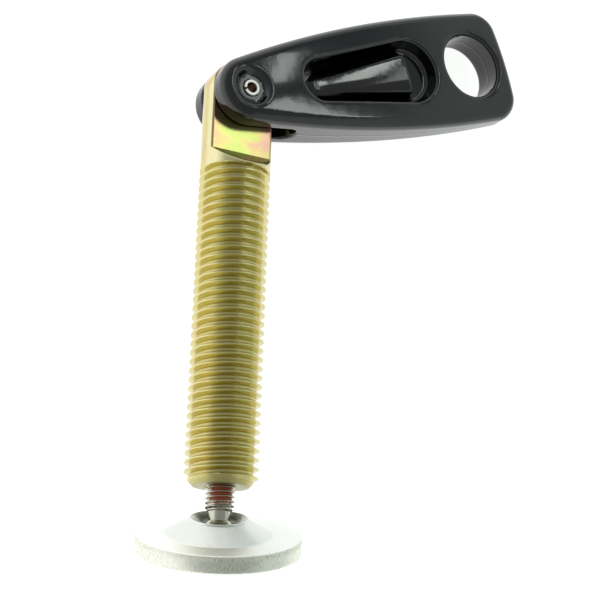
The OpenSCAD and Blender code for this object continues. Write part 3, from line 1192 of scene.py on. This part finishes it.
@dataclass(frozen=True)
class Lever:
    """Cast lever with a forked eye, a ribbed pocket in each face and a lock hole."""

    place: Placement
    reach: float = 97.0
    eye_r: float = 9.7
    eye_t: float = 20.8
    end_t: float = 11.2
    wide_u: float = 76.0
    wide_half: float = 18.3
    bow_r: float = 360.0
    end_bow_r: float = 220.0
    corner_r: float = 6.8
    edge_r: float = 3.0
    face_crown: float = 0.9
    slot_l: float = 15.0
    slot_w: float = 8.0
    slot_edge: float = 0.6
    pin_r: float = 2.5
    recess_r: float = 5.8
    recess_floor_r: float = 4.1
    recess_l: float = 2.0
    recess_edge: float = 0.5
    lock_u: float = 81.8
    lock_r: float = 10.2
    lock_lip: float = 1.5
    pocket_u1: float = 24.3
    pocket_r1: float = 6.6
    pocket_u2: float = 56.8
    pocket_r2: float = 10.0
    pocket_draft: float = 12.0
    pocket_edge: float = 0.9
    pocket_fillet: float = 1.2
    floor_w: float = 2.4
    rib_u1: float = 25.5
    rib_nose_r: float = 3.2
    rib_nose_h: float = 0.8
    rib_gap: float = 9.6
    rib_sink: float = 0.9
    rib_half_w: float = 7.0
    rib_crown_r: float = 30.0
    rib_side_r: float = 2.2
    rib_edge: float = 1.2
    cell: float = 0.42
    margin: float = 1.0
    side_margin: float = 1.5

    def half_t(self, u: np.ndarray | float) -> np.ndarray | float:
        """Half thickness, which falls evenly from the pivot to the end."""
        return self.eye_t / 2 - (self.eye_t - self.end_t) / 2 / self.reach * u

    def outline(self, u: np.ndarray, v: np.ndarray) -> np.ndarray:
        """Distance to the outline: the eye's circle runs into two bowed edges and a bowed end.

        Each bowed edge is a circle that touches the eye's circle from outside and passes the widest
        point, so the two meet on the ray from the bow's centre through the pivot.

        Args:
            u: Place along the lever.
            v: Place across it.

        Returns:
            The distance at each point.
        """
        span = math.hypot(self.wide_u, self.wide_half)
        inner = self.bow_r - self.eye_r
        share = (inner**2 - self.bow_r**2 + span**2) / (2 * span)
        drop = math.sqrt(inner**2 - share**2)
        along = np.array([self.wide_u, self.wide_half]) / span
        centre = along * share + np.array([along[1], -along[0]]) * drop
        ray = -centre / inner
        v = np.abs(v)
        bow = np.hypot(u - centre[0], v - centre[1]) - self.bow_r
        eye = np.hypot(u, v) - self.eye_r
        side = np.where(ray[0] * v - ray[1] * u < 0, bow, eye)
        end = np.hypot(u - self.reach + self.end_bow_r, v) - self.end_bow_r
        return round_meet(side, end, self.corner_r)

    def pocket(self, u: np.ndarray, v: np.ndarray, w: np.ndarray) -> np.ndarray:
        """Distance to the pocket's hollow: a drafted uneven capsule less a rising rib.

        Args:
            u: Place along the lever.
            v: Place across it.
            w: Height above the middle plane.

        Returns:
            The distance at each point, below zero in the hollow.
        """
        rim = capsule(u, v, self.pocket_u1, self.pocket_r1, self.pocket_u2, self.pocket_r2)
        draft = math.radians(self.pocket_draft)
        wall = (rim + (self.half_t(u) - w) * math.tan(draft)) * math.cos(draft)
        hollow = round_meet(wall, self.floor_w - w, self.pocket_fillet)
        rib_u2 = self.pocket_u2 + self.pocket_r2 - self.rib_gap
        low, high = self.floor_w + self.rib_nose_h, self.half_t(rib_u2) - self.rib_sink
        share = np.clip((u - self.rib_u1) / (rib_u2 - self.rib_u1), 0, 1)
        crown = low + (high - low) * share - v**2 / (2 * self.rib_crown_r)
        plan = capsule(u, v, self.rib_u1, self.rib_nose_r, rib_u2, self.rib_half_w)
        rib = round_meet(plan, w - crown, self.rib_side_r)
        rib = round_meet(rib, u - rib_u2, self.rib_edge)
        return round_meet(hollow, -rib, self.rib_edge)

    def field(self, points: np.ndarray) -> np.ndarray:
        """Distance to the whole casting.

        Args:
            points: Points in the lever's frame.

        Returns:
            The distance at each point.
        """
        u, v, w = points.T
        height = np.abs(w)
        crown = self.face_crown * (v / self.wide_half) ** 2
        body = round_meet(self.outline(u, v), height - self.half_t(u) + crown, self.edge_r)
        slot_end = self.slot_l - self.slot_w / 2
        slot = np.hypot(np.maximum(u - slot_end, 0), w) - self.slot_w / 2
        body = round_meet(body, -slot, self.slot_edge)
        around = np.hypot(u, v)
        grow = (self.recess_r - self.recess_floor_r) / self.recess_l
        floor = self.eye_t / 2 - self.recess_l
        recess = (around - self.recess_floor_r - (height - floor) * grow) / math.hypot(1, grow)
        body = round_meet(body, -np.maximum(recess, floor - height), self.recess_edge)
        body = np.maximum(body, self.pin_r - around)
        lock = np.hypot(u - self.lock_u, v) - self.lock_r
        body = round_meet(body, -lock, self.lock_lip)
        return round_meet(body, -self.pocket(u, v, height), self.pocket_edge)

    def build(self, maker: PieceMaker) -> bpy.types.Object:
        """Makes the casting and dresses it."""
        side, thick = self.wide_half + self.side_margin, self.eye_t / 2 + self.margin
        low = (-self.eye_r - self.margin, -side, -thick)
        high = (self.reach + self.margin, side, thick)
        shell = FieldMesher(low, high, self.cell).mesh(self.field)
        piece = maker.make("lever_casting", shell, self.place, "lever", Body.LEVER)
        piece.data.materials.append(BlackPaint().material(self.place, self))
        return piece


@dataclass(frozen=True)
class PivotPin:
    """Rolled spring pin with a slit along it."""

    place: Placement
    outer_r: float = 2.5
    wall: float = 1.0
    length: float = 18.0
    chamfer: float = 0.25
    bulge_in: float = 0.35
    bulge_down: float = 0.6
    bore_bevel: float = 0.12
    slit: float = 0.7
    slit_deg: float = 180.0
    steps: int = 72

    def shell(self) -> Shell:
        """The wall's bevelled section carried round the axis from one lip of the slit to the other.

        Returns:
            The closed surface, with the slit's two faces.
        """
        r, half, cut, lip = self.outer_r, self.length / 2, self.chamfer, self.bore_bevel
        inner = r - self.wall
        bulge_r, bulge_z = r - cut * self.bulge_in, half - cut * self.bulge_down
        section = np.array(
            [
                [inner, -half + lip],
                [inner, 0.0],
                [inner, half - lip],
                [inner + lip, half],
                [r - cut, half],
                [bulge_r, bulge_z],
                [r, half - 2 * cut],
                [r, 0.0],
                [r, -half + 2 * cut],
                [bulge_r, -bulge_z],
                [r - cut, -half],
                [inner + lip, -half],
            ]
        )
        gap = math.asin(self.slit / 2 / r)
        start = math.radians(self.slit_deg)
        angle = np.linspace(start + gap, start + TURN - gap, self.steps)[:, None]
        radius = section[:, 0]
        height = np.broadcast_to(section[:, 1], (self.steps, len(section)))
        grid = np.stack([radius * np.cos(angle), radius * np.sin(angle), height], -1)
        tube = Shell.from_rows(grid)
        ends = grid[[0, -1]].mean(axis=1)
        count = len(section)
        ring = np.arange(count)
        first = len(tube.points)
        last_row = (self.steps - 1) * count
        caps = [
            np.stack([np.full(count, first), np.roll(ring, -1), ring], -1),
            np.stack([np.full(count, first + 1), last_row + ring, last_row + np.roll(ring, -1)], -1),
        ]
        return Shell(np.concatenate([tube.points, ends]), tube.quads, np.concatenate(caps))

    def build(self, maker: PieceMaker) -> bpy.types.Object:
        """Makes the pin and dresses it."""
        shell, slot = self.shell(), Slot.SPRING_STEEL
        piece = maker.make("spring_pin", shell, self.place, "pivot_pin", Body.LEVER)
        piece.data.materials.append(SpringSteel().material(self.place, self.outer_r - self.wall))
        return piece


@dataclass(frozen=True)
class SwivelStud:
    """Threaded stud with a plain neck and a ball end that has a hexagon socket."""

    place: Placement
    thread_r: float = 4.0
    pitch: float = 1.25
    groove: float = 0.72
    out: float = 6.5
    inside: float = 12.0
    chamfer: float = 0.9
    neck_r: float = 2.95
    neck_l: float = 7.3
    ball_r: float = 5.6
    ball_flat: float = 0.4
    socket_w: float = 4.0
    socket_l: float = 2.6
    socket_drill: float = 0.5
    socket_draft: float = 0.96
    socket_bevel: float = 0.25
    shoulder: float = 0.1
    shoulder_w: float = 0.02
    ball_rows: int = 28
    columns: int = 72

    @property
    def ball_z(self) -> float:
        """Height of the ball's centre."""
        return -self.out - self.neck_l

    def shell(self) -> Shell:
        """The thread on its helix, closed by its top and by the neck, ball and socket.

        Returns:
            The joined surfaces.
        """
        thread = Thread(self.thread_r, self.pitch, self.groove, self.columns)
        low_r = self.thread_r - self.chamfer
        band = thread.band(
            -self.out,
            self.inside,
            lambda height: np.minimum(low_r + height + self.out, low_r + self.inside - height),
            open_top=False,
        )
        top = Shell.revolve(np.array([[low_r, self.inside], [0.0, self.inside]]), self.columns)
        return Shell.join([band, top, self.lower()])

    def lower(self) -> Shell:
        """Rows from the socket's floor, up its six walls, round the ball and along the neck.

        Returns:
            The surface below the thread.
        """
        angle = np.arange(self.columns) * TURN / self.columns
        sixth = TURN / 6
        hexagon = self.socket_w / 2 / np.cos((angle + sixth / 2) % sixth - sixth / 2)
        round_row = np.ones(self.columns)
        base = self.ball_z - self.ball_flat
        bevel = self.socket_bevel
        low = math.asin(self.ball_flat / self.ball_r)
        high = math.acos(self.neck_r / self.ball_r)
        climb = np.linspace(-low, high, self.ball_rows)
        neck_end = -self.out - self.shoulder
        rows = [
            (hexagon * 0.0, base + self.socket_l + self.socket_drill),
            (hexagon * self.socket_draft, base + self.socket_l),
            (hexagon, base + bevel),
            (hexagon + bevel, base),
            *(
                (round_row * self.ball_r * math.cos(lift), self.ball_z + self.ball_r * math.sin(lift))
                for lift in climb
            ),
            (round_row * self.neck_r, neck_end),
            (round_row * (self.neck_r + self.shoulder_w), neck_end),
            (round_row * (self.thread_r - self.chamfer), -self.out),
        ]
        radius = np.array([row[0] for row in rows])
        height = np.array([row[1] for row in rows])[:, None] * round_row
        grid = np.stack([radius * np.cos(angle), radius * np.sin(angle), height], -1)
        return Shell.from_rows(grid)

    def build(self, maker: PieceMaker) -> bpy.types.Object:
        """Makes the stud and dresses it."""
        shell, slot = self.shell(), Slot.STUD_STEEL
        piece = maker.make("swivel_stud_body", shell, self.place, "swivel_stud", Body.STUD)
        piece.data.materials.append(StudSteel().material(self.place, -self.out, self.thread_r))
        return piece


@dataclass(frozen=True)
class Pad:
    """Round pressure pad with a coned hub, a countersunk mouth and a seat for the ball."""

    place: Placement
    radius: float = 21.9
    rim_t: float = 4.7
    ball_up: float = 3.2
    hub_r: float = 14.5
    hub_h: float = 4.4
    foot_r: float = 1.2
    lip_r: float = 7.8
    lip_w: float = 0.6
    crater_l: float = 2.3
    seat_r: float = 5.72
    hole_r: float = 5.44
    rim_round: float = 0.6
    seat_bevel: float = 0.3
    mouth_w: float = 0.25
    mouth_up: float = 0.1
    mouth_down: float = 0.15
    lip_span: Span = (0.2, 0.8 * math.pi)
    seat_rows: int = 12
    lip_rows: int = 7
    corner_rows: int = 6
    columns: int = 160

    def profile(self) -> np.ndarray:
        """Section from the seat's crown down to the clamping face, round the rim and up to the mouth.

        Returns:
            Radius and height, one pair to a row.
        """
        face = -self.ball_up
        rim_top = face + self.rim_t
        lip_z = rim_top + self.hub_h
        hole_z = math.sqrt(self.seat_r**2 - self.hole_r**2)
        seat = np.linspace(math.asin(hole_z / self.seat_r), 0.0, self.seat_rows)
        corner = np.linspace(-math.pi / 2, 0, self.corner_rows)
        crater_z = lip_z - self.crater_l
        soft, lip_half = self.rim_round, self.lip_w / 2
        low = self._arc(self.radius - soft, face + soft, soft, corner)
        high = self._arc(self.radius - soft, rim_top - soft, soft, corner + math.pi / 2)
        over = np.linspace(*self.lip_span, self.lip_rows)
        lip = self._arc(self.lip_r - lip_half, lip_z - lip_half, lip_half, over)
        rise = lip_z - self.lip_w - rim_top
        slope = math.atan2(rise, self.hub_r - self.lip_r)
        set_back = self.foot_r * math.tan(slope / 2)
        bend = np.linspace(math.pi / 2, math.pi / 2 - slope, self.corner_rows)
        foot = self._arc(self.hub_r + set_back, rim_top + self.foot_r, -self.foot_r, bend)
        return np.concatenate(
            [
                self._arc(0, 0, self.seat_r, seat),
                [[self.seat_r, face + self.seat_bevel], [self.seat_r + self.seat_bevel, face]],
                low,
                high,
                foot,
                [[self.lip_r, lip_z - self.lip_w]],
                lip,
                [[self.hole_r + self.mouth_w, crater_z + self.mouth_up]],
                [[self.hole_r, crater_z - self.mouth_down]],
                self._arc(0, 0, self.seat_r, seat[:1]),
            ]
        )

    @staticmethod
    def _arc(r: float, z: float, radius: float, angle: np.ndarray) -> np.ndarray:
        """Points of a circle in the section's plane."""
        return np.stack([r + radius * np.cos(angle), z + radius * np.sin(angle)], -1)

    def build(self, maker: PieceMaker) -> bpy.types.Object:
        """Makes the pad and dresses it."""
        shell = Shell.revolve(self.profile(), self.columns)
        piece = maker.make("pressure_pad", shell, self.place, "pad", Body.PAD)
        piece.data.materials.append(TumbledSteel().material(self.place, self))
        return piece


@dataclass(frozen=True)
class PhotoCamera:
    """Camera at the photograph's viewing angle; places are in millimetres of the row frame."""

    position: tuple[float, float, float] = (-157.25, -30.53, 346.17)
    target: tuple[float, float, float] = (24.66, 56.38, -10.15)
    roll_deg: float = -71.60
    lens: float = 85.77
    sensor: float = 36.0

    def build(self) -> None:
        """Adds the camera and makes it the scene's own."""
        forward = (Vector(self.target) - Vector(self.position)).normalized()
        right = forward.cross(Vector((0, 0, 1))).normalized()
        level = right.cross(forward)
        roll = math.radians(self.roll_deg)
        up = level * math.cos(roll) + right * math.sin(roll)
        turn = Matrix((forward.cross(up), up, -forward)).transposed()
        data = bpy.data.cameras.new("photo_camera")
        data.lens = self.lens
        data.sensor_width = self.sensor
        camera = bpy.data.objects.new("photo_camera", data)
        camera.matrix_world = Matrix.Translation(Vector(self.position) * MM) @ turn.to_4x4()
        bpy.context.scene.collection.objects.link(camera)
        bpy.context.scene.camera = camera


@dataclass(frozen=True)
class Softbox:
    """A soft area light that faces one spot; places are in millimetres of the row frame.

    Args:
        name: Name of the light.
        spot: The place that it faces.
        toward: Direction from the spot to the light.
        upright: Direction that its second side follows.
        size: Its two sides.
        radiance: Brightness of its face, where the white floor is about one.
    """

    name: str
    spot: tuple[float, float, float]
    toward: tuple[float, float, float]
    upright: tuple[float, float, float]
    size: tuple[float, float]
    radiance: float
    distance: float = 1000.0
    tint: tuple[float, float, float] = (0.93, 1.0, 0.95)

    def build(self) -> None:
        """Adds the light."""
        data = bpy.data.lights.new(self.name, "AREA")
        data.shape = "RECTANGLE"
        data.size, data.size_y = (side * MM for side in self.size)
        data.energy = self.radiance * math.pi * data.size * data.size_y
        data.color = self.tint
        light = bpy.data.objects.new(self.name, data)
        back = Vector(self.toward).normalized()
        side = Vector(self.upright).cross(back).normalized()
        turn = Matrix((side, back.cross(side), back)).transposed()
        place = (Vector(self.spot) + back * self.distance) * MM
        light.matrix_world = Matrix.Translation(place) @ turn.to_4x4()
        bpy.context.scene.collection.objects.link(light)


@dataclass(frozen=True)
class Studio:
    """Pale floor that glows, in a soft tent that is bright at its foot and dim overhead.

    A darker patch of the tent and a grey wall to the right give the gloss its contrast, and four soft
    boxes give its highlights.
    """

    floor_side: float = 6000.0
    floor_gap: float = 0.05
    floor_colour: Colour = (0.45, 0.45, 0.45)
    floor_rough: float = 0.75
    floor_glow: float = 1.2
    floor_painted_shadow: Colour = (0.74, 0.75, 0.74)
    floor_bright: Colour = (0.86, 0.86, 0.86)
    floor_shadow_fade: Span = (25.0, -25.0)
    tent: Ramp = (
        (0.0, (1.3, 1.3, 1.3)),
        (0.20, (0.98, 1.01, 0.99)),
        (0.46, (0.46, 0.49, 0.48)),
        (0.85, (0.36, 0.38, 0.36)),
    )
    dark_toward: tuple[float, float, float] = (0.46, 0.585, 0.668)
    dark: Colour = (0.30, 0.35, 0.35)
    dark_span: Span = (0.92, 0.985)
    wall: Colour = (0.68, 0.75, 0.73)
    wall_lean: float = 0.7
    wall_span: Span = (0.06, 0.13)
    boxes: tuple[Softbox, ...] = (
        Softbox(
            "upper", (10.0, 115.0, 0.0), (0.459, 0.565, 0.685), (0.221, -0.82, 0.527), (20.0, 105.0), 5.5
        ),
        Softbox(
            "lower", (25.0, 113.0, 0.0), (0.532, 0.413, 0.739), (0.70, -0.70, -0.113), (40.0, 160.0), 5.0
        ),
        Softbox("key", (45.0, 125.0, -4.0), (0.240, 0.58, 0.778), (0.0, 1.0, 0.0), (40.0, 320.0), 7.0),
        Softbox("fill", (0.0, 96.0, -5.0), (0.385, 0.461, 0.80), (0.0, 1.0, 0.0), (90.0, 240.0), 2.4),
    )

    def build(self, floor_z: float) -> None:
        """Adds the floor, the tent and the lights.

        Args:
            floor_z: Height of the object's lowest point, in metres.
        """
        bpy.context.scene.view_settings.view_transform = "Standard"
        self._add_floor(floor_z - self.floor_gap * MM)
        self._add_tent()
        for box in self.boxes:
            box.build()

    def _add_floor(self, height: float) -> None:
        """Adds a large pale floor that glows as a light table does, less so on the lever's side, where
        the dimmer glow is a painted shadow.
        """
        half = self.floor_side / 2 * MM
        corners = [(x * half, y * half, height) for x, y in ((-1, -1), (1, -1), (1, 1), (-1, 1))]
        mesh = bpy.data.meshes.new("floor")
        mesh.from_pydata(corners, [], [(0, 1, 2, 3)])
        floor = bpy.data.objects.new("floor", mesh)
        bpy.context.scene.collection.objects.link(floor)
        g = MaterialGraph("floor")
        across = g.parts(g.node("ShaderNodeTexCoord", {}, {}).outputs["Object"])[0]
        share = across.rise(*(place * MM for place in self.floor_shadow_fade))
        look = g.finish(
            base_color=self.floor_colour,
            roughness=self.floor_rough,
            # Painted shadow: the floor's glow is dimmer on the lever's side.
            emission_color=g.blend(share, self.floor_painted_shadow, self.floor_bright),
            emission_strength=self.floor_glow,
        )
        mesh.materials.append(look)
        floor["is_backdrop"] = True

    def _add_tent(self) -> None:
        """Adds a sky whose brightness follows height, with the dark patch and the wall."""
        world = bpy.data.worlds.new("tent")
        world.use_nodes = True
        g = Graph(world.node_tree)
        x, y, z = g.parts(g.node("ShaderNodeTexCoord", {}, {}).outputs["Generated"])
        near = x * self.dark_toward[0] + y * self.dark_toward[1] + z * self.dark_toward[2]
        colour = g.blend(near.rise(*self.dark_span), g.ramp(z, self.tent), self.dark)
        colour = g.blend((x - z * self.wall_lean).rise(*self.wall_span), colour, self.wall)
        sky = g.node("ShaderNodeBackground", {}, {"Color": colour})
        g.node("ShaderNodeOutputWorld", {}, {"Surface": sky.outputs[0]})
        bpy.context.scene.world = world


def main() -> None:
    """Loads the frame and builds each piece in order."""
    logging.basicConfig(level=logging.INFO, format="%(name)s: %(message)s")
    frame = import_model()
    cad_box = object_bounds()
    PhotoCamera().build()
    bones = Skeleton.from_record(frame["record"])
    maker = PieceMaker()
    ClampScrew(bones.screw).build(maker)
    Lever(bones.lever).build(maker)
    PivotPin(bones.lever).build(maker)
    SwivelStud(bones.screw).build(maker)
    Pad(bones.pad).build(maker)
    Studio().build(cad_box[0][2])


if __name__ == "__main__":
    main()
